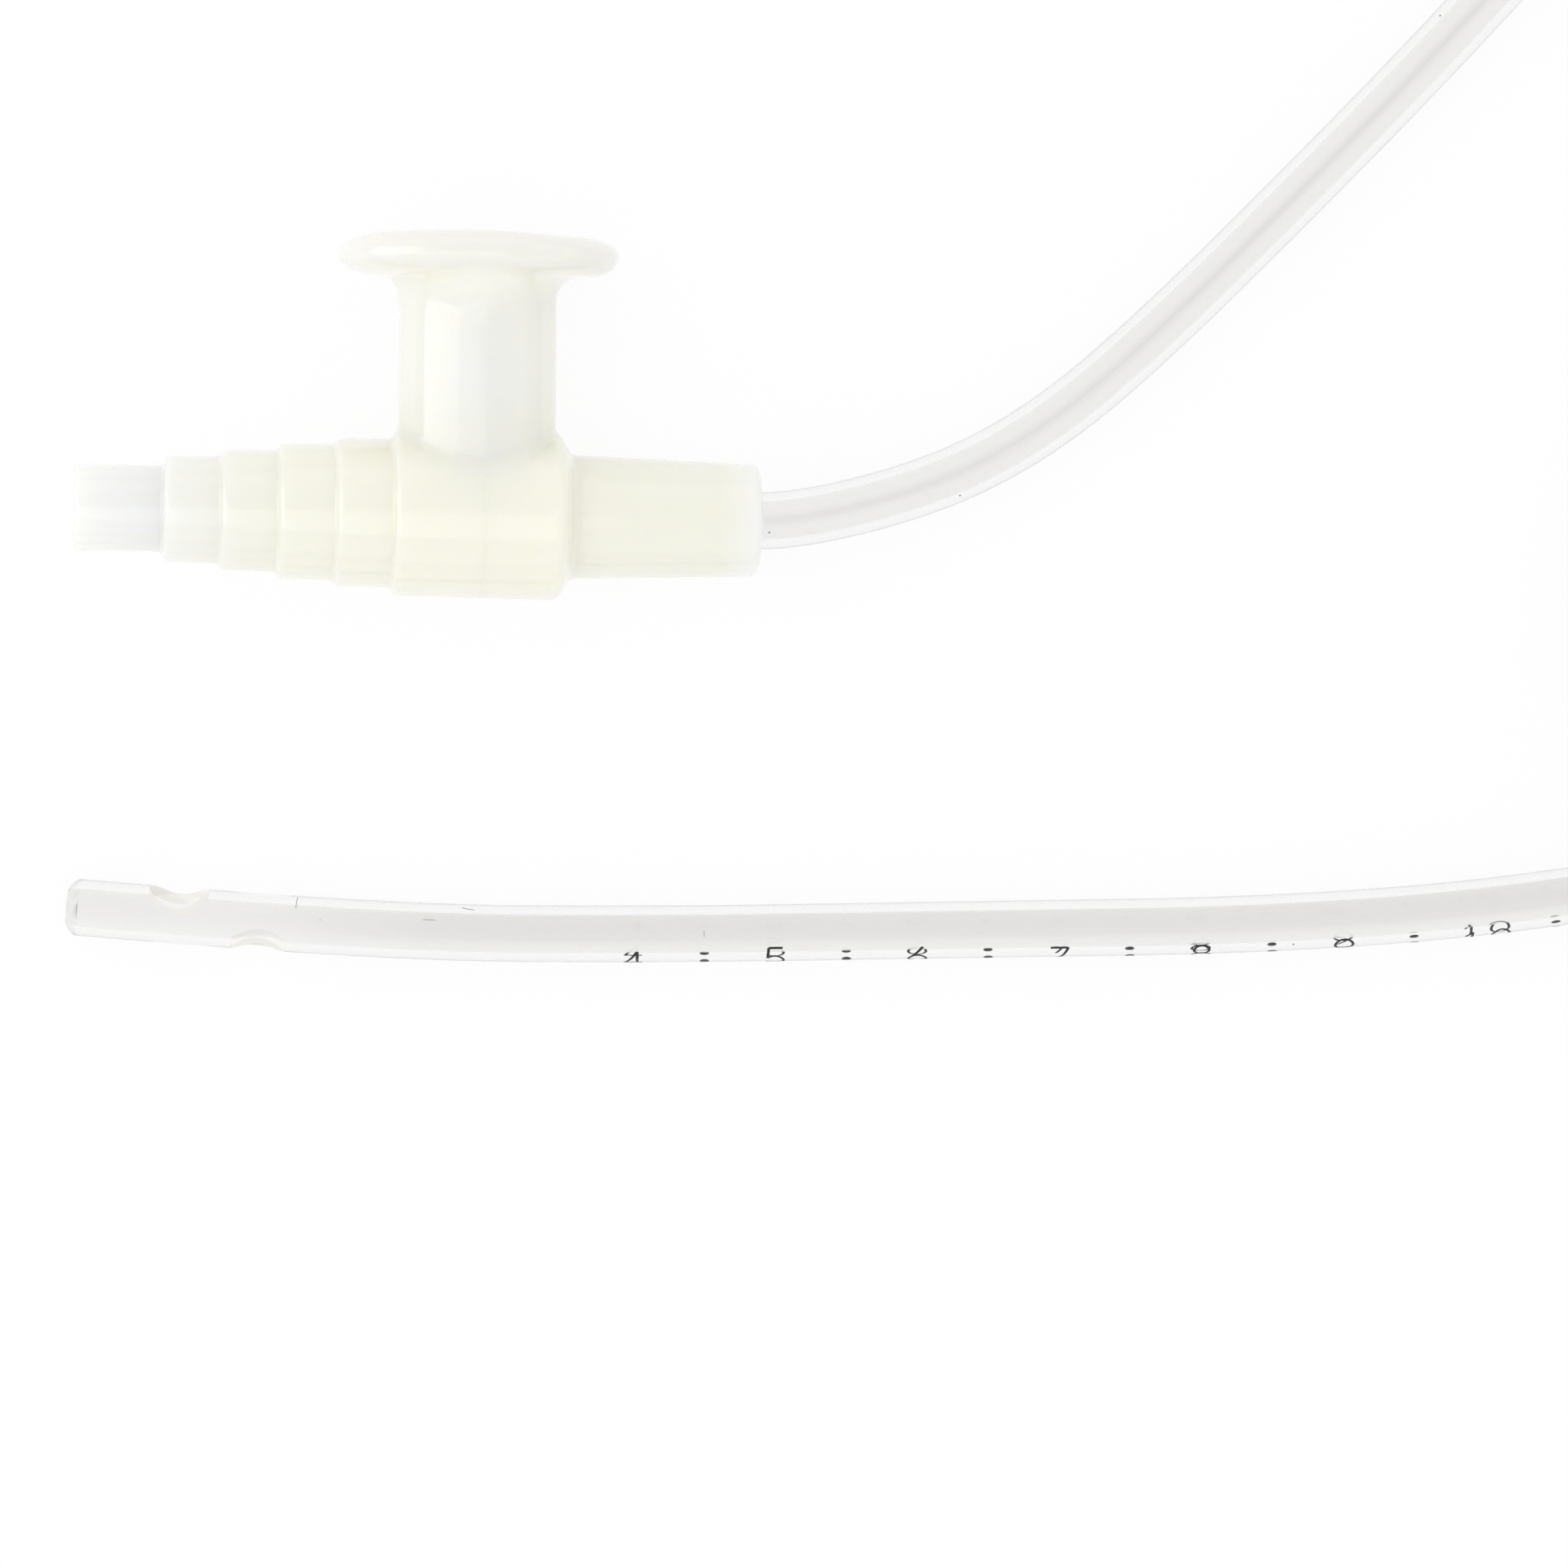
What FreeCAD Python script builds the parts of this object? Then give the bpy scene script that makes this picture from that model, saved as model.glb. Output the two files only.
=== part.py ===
import FreeCAD, Part
import math
import os
from FreeCAD import Placement, Rotation, Vector

# Suction catheter, 12 French: a clear tube bonded into a stepped connector with a thumb port.
# Millimetres. It lies on the floor z = 0, with the nozzle towards -X and the thumb port towards +Y.
# The origin is the bottom centre of the connector's box.

# Tube
tube_diameter = 4.0
tube_wall = 0.65
tube_insertion = 12.0
socket_clearance = 0.05
exit_straight = 4.6
bend_share = 0.45

# Rounded open tip of the tube
tip_length = 1.6
tip_rounding = 0.85
tip_opening = 2.1
tip_opening_rounding = 0.25

# Side eyes: distance from the tip, length, width, and turn about the tube from its upper side
near_eye = (7.8, 4.2, 3.4, 73.5)
far_eye = (13.6, 3.8, 2.8, -98.0)
eye_foot_share = 0.55
eye_reach = 2.4

# Stepped nozzle and barrel. Stations run along the connector's axis from the port's axis.
barrel_start = -6.04
barrel_end = 5.73
barrel_radius = 5.74
ring_pitch = 3.96
ring_radii = [5.17, 4.71, 4.20, 3.70]
tip_ring_length = 5.99
tip_ring_radius = 3.0
ring_draft = 0.05
step_lean = 0.25
step_crest_rounding = 0.20
step_root_rounding = 0.14
nozzle_lip_rounding = 0.22

# Sleeve that holds the tube
shoulder_lean = 0.86
shoulder_crest_rounding = 0.45
shoulder_root_rounding = 0.30
sleeve_length = 14.02
sleeve_root_radius = 4.36
sleeve_end_radius = 3.96
sleeve_lip_rounding = 0.55
sleeve_mouth_rounding = 0.15

# Bores
nozzle_bore_radius = 1.90
chamber_radius = 3.0
chamber_end = 5.0
throat_radius = 1.30

# Thumb port: an oval stem with an oval plate whose edge is full and rounded
stem_half_width = 5.5
stem_half_depth = 4.75
port_height = 19.44
port_bore_radius = 3.6
plate_half_length = 9.78
plate_half_depth = 7.2
plate_fullness = 1.0
plate_above_edge = 1.44
plate_below_edge = 1.50
plate_underside_slope = 0.5
plate_top_slope = -1.0
port_lean = 0.5
edge_top_left = 3.45
edge_top_right = 2.43
edge_under_left = 3.40
edge_under_right = 2.03
edge_front = 1.2

# Flare from the stem to the plate's underside: width and height on each side
flare_left = (0.80, 2.3)
flare_right = (1.75, 1.6)
flare_front = (0.45, 1.9)

# Shallow dish round the port's mouth
dish_depth = 0.8
dish_rim_left = 5.2
dish_rim_right = 6.2
dish_rim_depth = 5.3

# The connector's heading on the floor, in degrees
connector_heading = -0.8

# Corners of the tube's route after its first straight: X, Y and lift off the floor
route = [
    (36.7, -4.5, 0.35),
    (44.3, -0.3, 0.0),
    (51.6, 5.95, 0.0),
    (61.0, 15.2, 0.0),
    (70.9, 25.3, 0.0),
    (80.3, 35.5, 0.0),
    (96.0, 41.6, 0.0),
    (113.5, 39.5, 0.0),
    (128.2, 29.8, 0.0),
    (137.7, 15.0, 0.0),
    (140.7, -2.5, 0.0),
    (137.5, -19.0, 0.0),
    (128.3, -32.3, 0.0),
    (115.6, -39.0, 0.6),
    (102.0, -38.5, 4.4),
    (90.3, -31.2, 4.8),
    (83.9, -19.2, 1.6),
    (83.6, -5.5, 0.0),
    (89.5, 7.0, 0.0),
    (100.5, 15.0, 0.0),
    (114.0, 16.0, 0.0),
    (126.1, 9.1, 0.0),
    (132.2, -3.1, 0.0),
    (130.5, -16.5, 0.0),
    (121.6, -26.8, 0.0),
    (108.5, -30.4, 0.0),
    (93.5, -31.5, 0.0),
    (76.5, -34.4, 0.0),
    (59.0, -35.7, 0.0),
    (38.0, -36.0, 0.0),
    (17.0, -36.35, 0.0),
    (-4.0, -36.2, 0.0),
    (-25.22, -34.43, 0.0),
]

tube_radius = tube_diameter / 2
lumen_radius = tube_radius - tube_wall
nozzle_start = barrel_start - len(ring_radii) * ring_pitch - tip_ring_length
sleeve_start = barrel_end + shoulder_lean
sleeve_end = barrel_end + sleeve_length
socket_stop = sleeve_end - tube_insertion
plate_edge_height = port_height - plate_above_edge
plate_underside = plate_edge_height - plate_below_edge
flare_start = plate_underside - max(flare_left[1], flare_right[1], flare_front[1])
flare_steps = 5
edge_steps = 6
edge_sweep = 84.0
loft_degree = 3

along = Vector(1, 0, 0)
up_port = Vector(0, 1, 0)
upward = Vector(0, 0, 1)
origin = Vector(0, 0, 0)
round_weight = math.sqrt(0.5)


def corner_arc(before, corner, after, radius):
    """Start, middle and end of the arc of this radius that touches both legs of a corner."""
    to_before = (before - corner).normalize()
    to_after = (after - corner).normalize()
    half_turn = (math.pi - to_before.getAngle(to_after)) / 2
    reach = radius * math.tan(half_turn)
    inward = (to_before + to_after).normalize()
    depth = radius / math.cos(half_turn) - radius
    return corner + to_before * reach, corner + inward * depth, corner + to_after * reach


def rounded_outline(corners):
    """Closed wire through corners, each a point and the radius that rounds it."""
    edges = []
    ends = []
    for i, (point, rounding) in enumerate(corners):
        if rounding > 0:
            after = corners[(i + 1) % len(corners)][0]
            start, middle, end = corner_arc(corners[i - 1][0], point, after, rounding)
            edges.append(Part.Arc(start, middle, end).toShape())
            ends.append((start, end))
        else:
            ends.append((point, point))
    for i, (start, _) in enumerate(ends):
        edges.append(Part.LineSegment(ends[i - 1][1], start).toShape())
    return Part.Wire(Part.__sortEdges__(edges))


def turned(corners):
    """Solid turned about the connector's axis from corners of station, radius and rounding."""
    outline = rounded_outline([(Vector(x, r, 0), rounding) for x, r, rounding in corners])
    return Part.Face(outline).revolve(origin, along, 360)


def oval(left, right, depth, height, slope=0.0, fullness=round_weight):
    """Oval across the port's axis. Its weight is round_weight for an ellipse and more for fuller."""
    halves = []
    for reach in (right, -left):
        poles = [(0, 1), (1, 1), (1, 0), (1, -1), (0, -1)]
        half = Part.BSplineCurve()
        half.buildFromPolesMultsKnots(
            [Vector(x * reach, 0, z * depth) for x, z in poles],
            mults=[3, 2, 3],
            knots=[0, 1, 2],
            degree=2,
            weights=[1, fullness, 1, fullness, 1],
        )
        halves.append(half.toShape())
    wire = Part.Wire(Part.__sortEdges__(halves))
    wire.rotate(origin, Vector(0, 0, 1), slope)
    wire.translate(up_port * height)
    return wire


def body_of_rotation():
    """Nozzle rings, barrel and sleeve as one turned solid, with its two straight-through bores."""
    corners = [(nozzle_start, nozzle_bore_radius, 0)]
    corners.append((nozzle_start, tip_ring_radius, nozzle_lip_rounding))
    ring_end_radius = tip_ring_radius
    station = nozzle_start + tip_ring_length
    for next_radius in reversed([barrel_radius] + ring_radii):
        corners.append((station, ring_end_radius, step_root_rounding))
        corners.append((station + step_lean, next_radius, step_crest_rounding))
        ring_end_radius = next_radius + ring_draft
        station += ring_pitch
    corners += [
        (barrel_end, barrel_radius + ring_draft, shoulder_crest_rounding),
        (sleeve_start, sleeve_root_radius, shoulder_root_rounding),
        (sleeve_end, sleeve_end_radius, sleeve_lip_rounding),
        (sleeve_end, tube_radius + socket_clearance, sleeve_mouth_rounding),
        (socket_stop, tube_radius + socket_clearance, 0),
        (socket_stop, throat_radius, 0),
        (chamber_end, throat_radius, 0),
        (chamber_end, chamber_radius, 0),
    ]
    return turned(corners)


def flare_ovals():
    """Sections of the plate's foot, from the stem out to the plate's underside."""
    sides = [
        (stem_half_width, flare_left),
        (stem_half_width, flare_right),
        (stem_half_depth, flare_front),
    ]
    ovals = []
    for step in range(flare_steps + 1):
        share = math.sin(math.pi / 2 * step / flare_steps)
        height = flare_start + share * (plate_underside - flare_start)
        reaches = []
        for stem_reach, (width, rise) in sides:
            climbed = max(0.0, 1 - (plate_underside - height) / rise)
            reaches.append(stem_reach + width * (1 - math.sqrt(1 - climbed ** 2)))
        fullness = round_weight + share * (plate_fullness - round_weight)
        ovals.append(oval(*reaches, height, share * plate_underside_slope, fullness))
    return ovals


def plate_ovals():
    """Sections of the oval plate, from its underside over its full rounded edge to its top."""
    ovals = []
    for step in range(-edge_steps, edge_steps + 1):
        angle = math.radians(edge_sweep) * step / edge_steps
        share = math.sin(angle) / math.sin(math.radians(edge_sweep))
        inset = 1 - math.cos(angle)
        above = step > 0
        left = plate_half_length - inset * (edge_top_left if above else edge_under_left)
        right = plate_half_length - inset * (edge_top_right if above else edge_under_right)
        depth = plate_half_depth - inset * edge_front
        height = plate_edge_height + share * (plate_above_edge if above else plate_below_edge)
        slope = plate_underside_slope
        if above:
            slope += share * (plate_top_slope - plate_underside_slope)
        ovals.append(oval(left, right, depth, height, slope, plate_fullness))
    return ovals


def dish():
    """Shallow funnel that leads the thumb to the port's bore."""
    sections = []
    for share in (0.0, 0.4, 0.75, 1.0):
        spread = share ** 2
        left = port_bore_radius + spread * (dish_rim_left - port_bore_radius)
        right = port_bore_radius + spread * (dish_rim_right - port_bore_radius)
        depth = port_bore_radius + spread * (dish_rim_depth - port_bore_radius)
        height = port_height - (1 - share) * dish_depth
        sections.append(oval(left, right, depth, height, share * plate_top_slope))
    return Part.makeLoft(sections, True, False, False, loft_degree)


def port_head():
    """Stem, flare and plate as one closed skin, with the dish sunk in the plate's top."""
    foot = oval(stem_half_width, stem_half_width, stem_half_depth, 0)
    lower = flare_ovals()
    upper = plate_ovals()
    faces = [Part.Face(foot), Part.Face(upper[-1])]
    faces += Part.Face(upper[0]).cut(Part.Face(lower[-1])).Faces
    faces += Part.makeLoft([foot, lower[0]], False, True).Faces
    faces += Part.makeLoft(lower, False, False, False, loft_degree).Faces
    faces += Part.makeLoft(upper, False, False, False, loft_degree).Faces
    skin = Part.Shell(faces)
    skin.sewShape()
    return Part.Solid(skin).cut(dish())


def connector():
    """The whole moulding in its own axes: nozzle along -X, port along +Y."""
    solid_body = body_of_rotation()
    head = port_head()
    nozzle_bore = turned([
        (nozzle_start, 0, 0),
        (nozzle_start, nozzle_bore_radius, 0),
        (chamber_end, chamber_radius, 0),
        (chamber_end, 0, 0),
    ])
    throat = Part.makeCylinder(throat_radius, socket_stop, origin, along)
    port_bore = Part.makeCylinder(port_bore_radius, port_height, origin, up_port)
    for piece in (head, port_bore):
        piece.rotate(origin, Vector(0, 0, 1), port_lean)
    whole = solid_body.fuse(head)
    return whole.cut([nozzle_bore, throat, port_bore])


def resting_turn():
    """Turn that lays the connector on its barrel's rim, its sleeve's lip and its plate's edge."""
    rim_to_lip = sleeve_end - sleeve_lip_rounding - barrel_end
    tilt = math.atan((barrel_radius - sleeve_end_radius) / rim_to_lip)
    plate_reach = math.hypot(plate_half_length * math.sin(tilt), plate_half_depth * math.cos(tilt))
    axis_height = barrel_radius * math.cos(tilt) + barrel_end * math.sin(tilt)
    roll = math.asin((plate_reach - axis_height) / plate_edge_height)
    turn = Rotation(Vector(0, 0, 1), connector_heading)
    turn = turn * Rotation(Vector(0, 1, 0), math.degrees(tilt))
    return turn * Rotation(Vector(1, 0, 0), math.degrees(roll))


def resting_placement(shape):
    """Placement that stands the turned connector on the floor, centred over the origin."""
    turn = resting_turn()
    turned_shape = shape.copy()
    turned_shape.Placement = Placement(origin, turn)
    box = turned_shape.optimalBoundingBox(False, False)
    return Placement(Vector(-box.Center.x, -box.Center.y, -box.ZMin), turn)


def tube_corners(seat):
    """Corners of the tube's centre line, from the stop in the socket to the tip."""
    stop = seat.multVec(along * socket_stop)
    first_bend = seat.multVec(along * (sleeve_end + exit_straight))
    return [stop, first_bend] + [Vector(x, y, tube_radius + lift) for x, y, lift in route]


def tube_bends(corners):
    """Each bend of the centre line as its start, end, centre, axis, turn in degrees and radius."""
    bends = []
    for before, corner, after in zip(corners, corners[1:], corners[2:]):
        arriving = corner - before
        leaving = after - corner
        turn = arriving.getAngle(leaving)
        reach = bend_share * min(arriving.Length, leaving.Length)
        radius = reach / math.tan(turn / 2)
        start, middle, end = corner_arc(before, corner, after, radius)
        centre = corner + (middle - corner).normalize() * (radius / math.cos(turn / 2))
        axis = arriving.cross(leaving).normalize()
        bends.append((start, end, centre, axis, math.degrees(turn), radius))
    return bends


def tube_skin(corners, bends, radius):
    """Faces of a round skin along the centre line up to the tip's piece, and its last ring."""
    ring = Part.Circle(corners[0], corners[1] - corners[0], radius).toShape()
    position = corners[0]
    faces = []
    for start, end, centre, axis, turn, _ in bends:
        faces.append(ring.extrude(start - position))
        ring = ring.translated(start - position)
        faces.append(ring.revolve(centre, axis, turn))
        ring.rotate(centre, axis, turn)
        position = end
    tip = corners[-1]
    forward = (tip - corners[-2]).normalize()
    last = tip - forward * tip_length - position
    faces.append(ring.extrude(last))
    return faces, ring.translated(last)


def tube_tip(corners):
    """The rounded open tip, turned about the last straight."""
    tip = corners[-1]
    forward = (tip - corners[-2]).normalize()
    sideways = forward.cross(upward)
    outline = [
        (-tip_length, lumen_radius, 0),
        (-tip_length, tube_radius, 0),
        (0, tube_radius, tip_rounding),
        (0, tip_opening / 2, tip_opening_rounding),
    ]
    points = [(tip + forward * x + sideways * r, rounding) for x, r, rounding in outline]
    return Part.Face(rounded_outline(points)).revolve(tip, forward, 360)


def eye_cutter(corners, distance, length, width, turn_from_top):
    """Oval cutter for one side eye: it narrows from the tube's skin to its axis."""
    tip = corners[-1]
    forward = (tip - corners[-2]).normalize()
    outward = Rotation(forward, turn_from_top).multVec(upward)
    stand = Placement(tip - forward * distance, Rotation(forward, origin, outward, "ZXY"))
    rim_height = math.sqrt(tube_radius ** 2 - (width / 2) ** 2)
    rims = []
    for height, share in ((0, eye_foot_share), (rim_height, 1), (eye_reach, 1)):
        rim = Part.Ellipse(origin, share * length / 2, share * width / 2).toShape()
        rim.translate(upward * height)
        rim.Placement = stand.multiply(rim.Placement)
        rims.append(Part.Wire(rim))
    return Part.makeLoft(rims, True, True)


def tube(corners, bends):
    """The hollow tube with its rounded tip and two side eyes."""
    outer, outer_ring = tube_skin(corners, bends, tube_radius)
    inner, inner_ring = tube_skin(corners, bends, lumen_radius)
    faces = outer + inner
    start = Part.Circle(corners[0], corners[1] - corners[0], tube_radius).toShape()
    start_hole = Part.Circle(corners[0], corners[1] - corners[0], lumen_radius).toShape()
    for rim, hole in ((start, start_hole), (outer_ring, inner_ring)):
        faces += Part.Face(Part.Wire(rim)).cut(Part.Face(Part.Wire(hole))).Faces
    skin = Part.Shell(faces)
    skin.sewShape()
    length = Part.Solid(skin)
    if length.Volume < 0:
        length.reverse()
    whole = length.fuse(tube_tip(corners)).removeSplitter()
    cutters = [eye_cutter(corners, *eye) for eye in (near_eye, far_eye)]
    return whole.cut(cutters)


def centre_line(corners, bends):
    """The tube's centre line as one wire of straights and tangent arcs."""
    edges = []
    position = corners[0]
    for (start, end, _, _, _, radius), corner in zip(bends, corners[1:]):
        middle = corner_arc(position, corner, end, radius)[1]
        edges.append(Part.LineSegment(position, start).toShape())
        edges.append(Part.Arc(start, middle, end).toShape())
        position = end
    edges.append(Part.LineSegment(position, corners[-1]).toShape())
    return Part.Wire(edges)


control_connector = connector().Solids[0]
seat = resting_placement(control_connector)
control_connector.Placement = seat
corners = tube_corners(seat)
bends = tube_bends(corners)
catheter_tube = tube(corners, bends).Solids[0]
line = centre_line(corners, bends)

print("bend radii", [round(bend[-1], 1) for bend in bends])
section = math.pi * (tube_radius ** 2 - lumen_radius ** 2)
print("centre line", round(line.Length, 2), "free", round(line.Length - tube_insertion, 2))
print("tube volume", round(catheter_tube.Volume, 1), "section x length", round(section * line.Length, 1))

os.makedirs("parts", exist_ok=True)
control_connector.exportStep("parts/control_connector.step")
catheter_tube.exportStep("parts/catheter_tube.step")
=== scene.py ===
import math
import bmesh
import bpy
import numpy as np
import openvdb
from mathutils import Matrix, Vector


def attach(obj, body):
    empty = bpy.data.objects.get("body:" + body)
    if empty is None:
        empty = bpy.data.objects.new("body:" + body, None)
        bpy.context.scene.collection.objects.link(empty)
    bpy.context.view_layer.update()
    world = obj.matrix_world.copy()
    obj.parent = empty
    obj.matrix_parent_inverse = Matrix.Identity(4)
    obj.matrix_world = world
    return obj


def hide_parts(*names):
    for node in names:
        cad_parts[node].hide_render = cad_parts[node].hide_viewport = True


# Suction catheter: a clear tube bonded into a stepped connector with a thumb port.
# The scene is in metres. The connector's own shape is worked out in millimetres.

MM = 0.001

# The connector's place: its own axes run along the nozzle (-X) and the port (+Y)
SEAT_PLACE = (3.981, -6.948, 6.501)
SEAT_YAW = -0.8
SEAT_PITCH = 7.528
SEAT_ROLL = 2.582

# Stations along the connector's axis, from the port's axis
BARREL_START = -6.04
BARREL_END = 5.73
BARREL_RADIUS = 5.74
RING_PITCH = 3.96
RING_RADII = (5.17, 4.71, 4.20, 3.70)
TIP_RING_LENGTH = 5.99
TIP_RING_RADIUS = 3.0
RING_DRAFT = 0.05
STEP_LEAN = 0.25
STEP_CREST = 0.20
STEP_ROOT = 0.14
NOZZLE_LIP = 0.22
SHOULDER_LEAN = 0.86
SHOULDER_CREST = 0.45
SHOULDER_ROOT = 0.30
SLEEVE_LENGTH = 14.02
SLEEVE_ROOT_RADIUS = 4.36
SLEEVE_END_RADIUS = 3.96
SLEEVE_LIP = 0.55
NOZZLE_START = BARREL_START - len(RING_RADII) * RING_PITCH - TIP_RING_LENGTH
SLEEVE_START = BARREL_END + SHOULDER_LEAN
SLEEVE_END = BARREL_END + SLEEVE_LENGTH

# Bores
NOZZLE_BORE = 1.90
CHAMBER_RADIUS = 3.0
CHAMBER_END = 5.0
THROAT_RADIUS = 1.30
SOCKET_RADIUS = 2.05
SOCKET_STOP = SLEEVE_END - 12.0
PORT_BORE = 3.6
MOUTH_ROUNDING = 0.15

# Thumb port
STEM_HALF_WIDTH = 5.5
STEM_HALF_DEPTH = 4.75
STEM_FILLET = 0.45
PORT_HEIGHT = 19.44
PORT_LEAN = 0.5
PLATE_HALF_LENGTH = 9.78
PLATE_HALF_DEPTH = 7.2
PLATE_ABOVE = 1.44
PLATE_BELOW = 1.50
PLATE_EDGE_HEIGHT = PORT_HEIGHT - PLATE_ABOVE
PLATE_POWER = 2.41
PLATE_SLOPE_TOP = -1.0
PLATE_SLOPE_UNDER = 0.5
EDGE_TOP_LEFT = 3.25
EDGE_TOP_RIGHT = 2.2
EDGE_UNDER_LEFT = 3.40
EDGE_UNDER_RIGHT = 2.03
EDGE_TOP_FRONT = 1.2
EDGE_UNDER_FRONT = 2.4
FLARE_LEFT = (0.95, 2.5)
FLARE_RIGHT = (1.65, 1.5)
FLARE_FRONT = (2.2, 3.4)
DISH_DEPTH = 0.8
DISH_RIM_LEFT = 5.2
DISH_RIM_RIGHT = 6.2
DISH_RIM_DEPTH = 5.3
DISH_ROUNDING = 0.3

# Fine ridge that the mould leaves round the barrel
WITNESS_STATION = 0.25
WITNESS_WIDTH = 0.09
WITNESS_RISE = 0.010
WITNESS_SINK = 0.03
WITNESS_START = 62.0
WITNESS_STEPS = 120

# Grid on which the connector's shape is sampled
CELL = 0.21
GRID_MARGIN = 4
FIELD_REACH = 3 * CELL
LEAST_SLOPE = 0.3
SETTLING_STEPS = 3

# Where the plastic looks paler: how far from the nozzle's tip and from the sleeve's end, where
# walls are thin, how much in the stem, partly for its thin wall and partly as painted light, and
# how much more painted light from this depth under the plate's top, where shade falls under the
# plate
PALE_TIP = 2.0
PALE_SLEEVE = 3.5
STEM_PALE_AND_PAINTED_LIGHT = 0.50
HEAD_PAINTED_LIGHT = 0.50
HEAD_PAINTED_LIGHT_DEPTH = 6.0

# A greyer tone in the plate: how far under the plate's edge it starts, and where it is full
PLATE_TONE_START = 2.0
PLATE_TONE_FULL = 0.6

# Tube
TUBE_RADIUS = 0.002
LUMEN_RADIUS = 0.00135
TUBE_SIDES = 40
TUBE_STEP = 0.0009
TIP_ROUNDING = 0.00085
TIP_OPENING = 0.00105
TIP_LIP = 0.0001
TIP_RINGS = 6
LIP_RINGS = 3

# Painted shade on the clear lumen. Near the tip it is a wide band, paler past these shares of the
# radius to the left and at the tip itself, by these distances from it
WIDE_SIDE = (0.30, 0.60)
WIDE_SIDE_LOSS = 0.75
WIDE_TIP = (0.010, 0.030)
WIDE_TIP_KEPT = 0.35
# Near the sleeve it is a narrow band of painted shade along the middle
NARROW_WIDTH = 0.20
NARROW_KEPT = 0.30
# The wide band gives way to the narrow one between these distances from the tip
WIDE_END = (0.11, 0.16)

# The tube's route: the stop in the socket, two points that keep it straight to the sleeve's
# mouth, and then its corners
ROUTE = [
    (0.01166, -0.00705, 0.00548),
    (0.02058, -0.00718, 0.00431),
    (0.02653, -0.00726, 0.00352),
    (0.0367, -0.0045, 0.00235),
    (0.0443, -0.0003, 0.002),
    (0.0516, 0.00595, 0.002),
    (0.0610, 0.0152, 0.002),
    (0.0709, 0.0253, 0.002),
    (0.0803, 0.0355, 0.002),
    (0.0960, 0.0416, 0.002),
    (0.1135, 0.0395, 0.002),
    (0.1282, 0.0298, 0.002),
    (0.1377, 0.0150, 0.002),
    (0.1407, -0.0025, 0.002),
    (0.1375, -0.0190, 0.002),
    (0.1283, -0.0323, 0.002),
    (0.1156, -0.0390, 0.0026),
    (0.1020, -0.0385, 0.0064),
    (0.0903, -0.0312, 0.0068),
    (0.0839, -0.0192, 0.0036),
    (0.0836, -0.0055, 0.002),
    (0.0895, 0.0070, 0.002),
    (0.1005, 0.0150, 0.002),
    (0.1140, 0.0160, 0.002),
    (0.1261, 0.0091, 0.002),
    (0.1322, -0.0031, 0.002),
    (0.1305, -0.0165, 0.002),
    (0.1216, -0.0268, 0.002),
    (0.1085, -0.0304, 0.002),
    (0.0935, -0.0315, 0.002),
    (0.0765, -0.0344, 0.002),
    (0.0590, -0.0357, 0.002),
    (0.0380, -0.0360, 0.002),
    (0.0170, -0.03635, 0.002),
    (-0.0040, -0.0362, 0.002),
    (-0.02512, -0.03436, 0.002),
]

# Side eyes: distance from the tip, length, width, and turn from the tube's upper side toward the
# right of one who looks at the tip from behind
NEAR_EYE = (0.0078, 0.0042, 0.0034, 73.5)
FAR_EYE = (0.0136, 0.0038, 0.0028, -98.0)
EYE_FOOT_SHARE = 0.55
EYE_REACH = 0.0024
EYE_SIDES = 64

# Depth marks: a number at every whole centimetre from the tip and a dot between
FIRST_MARK = 4
LAST_MARK = 20
DIGIT_HEIGHT = 0.0022
DIGIT_WIDTH = 0.00125
DIGIT_ADVANCE = 0.0021
STROKE_WIDTH = 0.00020
DOT_RADIUS = 0.00033
DOT_OFFSET = 7.0
INK_UNDER = 0.00003
INK_OVER = 0.000012
INK_FLAT = 0.8
DOT_SIDES = 20

# The print winds about the tube: distance from the tip in centimetres, and its turn from the
# tube's upper side toward the left of one who looks at the tip from behind
PRINT_TURNS = [(4, 70), (5, 62.5), (6, 65.5), (7, 73), (8, 75), (9, 76), (10, 88), (11, 94)]

# Strokes of the digits in a box one wide and one high: a polyline, or an oval given by its
# centre, half width, half height and the angles between which it runs
DIGIT_STROKES = {
    "0": [(0.5, 0.5, 0.5, 0.5, 0, 360)],
    "1": [[(0.18, 0.72), (0.55, 1.0)], [(0.55, 1.0), (0.55, 0.0)]],
    "2": [(0.5, 0.7, 0.46, 0.3, 165, -35), [(0.88, 0.53), (0.0, 0.0)], [(0.0, 0.0), (1.0, 0.0)]],
    "3": [(0.46, 0.75, 0.42, 0.25, 150, -90), (0.46, 0.27, 0.5, 0.27, 90, -150)],
    "4": [[(0.72, 0.0), (0.72, 1.0)], [(0.72, 1.0), (0.0, 0.3)], [(0.0, 0.3), (1.0, 0.3)]],
    "5": [
        [(0.92, 1.0), (0.14, 1.0)],
        [(0.14, 1.0), (0.06, 0.52)],
        (0.46, 0.32, 0.5, 0.32, 142, -150),
    ],
    "6": [[(0.80, 1.0), (0.08, 0.46)], (0.5, 0.3, 0.5, 0.3, 0, 360)],
    "7": [[(0.0, 1.0), (1.0, 1.0)], [(1.0, 1.0), (0.35, 0.0)]],
    "8": [(0.5, 0.76, 0.42, 0.24, 0, 360), (0.5, 0.27, 0.5, 0.27, 0, 360)],
    "9": [(0.5, 0.7, 0.5, 0.3, 0, 360), [(0.92, 0.54), (0.20, 0.0)]],
}

# Fine scratches on the tube: the two ends of each as places in X and Y
SCRATCHES = [
    ((-0.00859, -0.03374), (-0.00894, -0.03443)),
    ((0.00307, -0.03442), (0.00330, -0.03458)),
    ((-0.00739, -0.03529), (-0.00718, -0.03521)),
    ((-0.00262, -0.03527), (-0.00252, -0.03533)),
    ((0.00038, -0.03524), (0.00052, -0.03527)),
    ((0.01955, -0.03644), (0.01975, -0.03600)),
]

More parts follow.
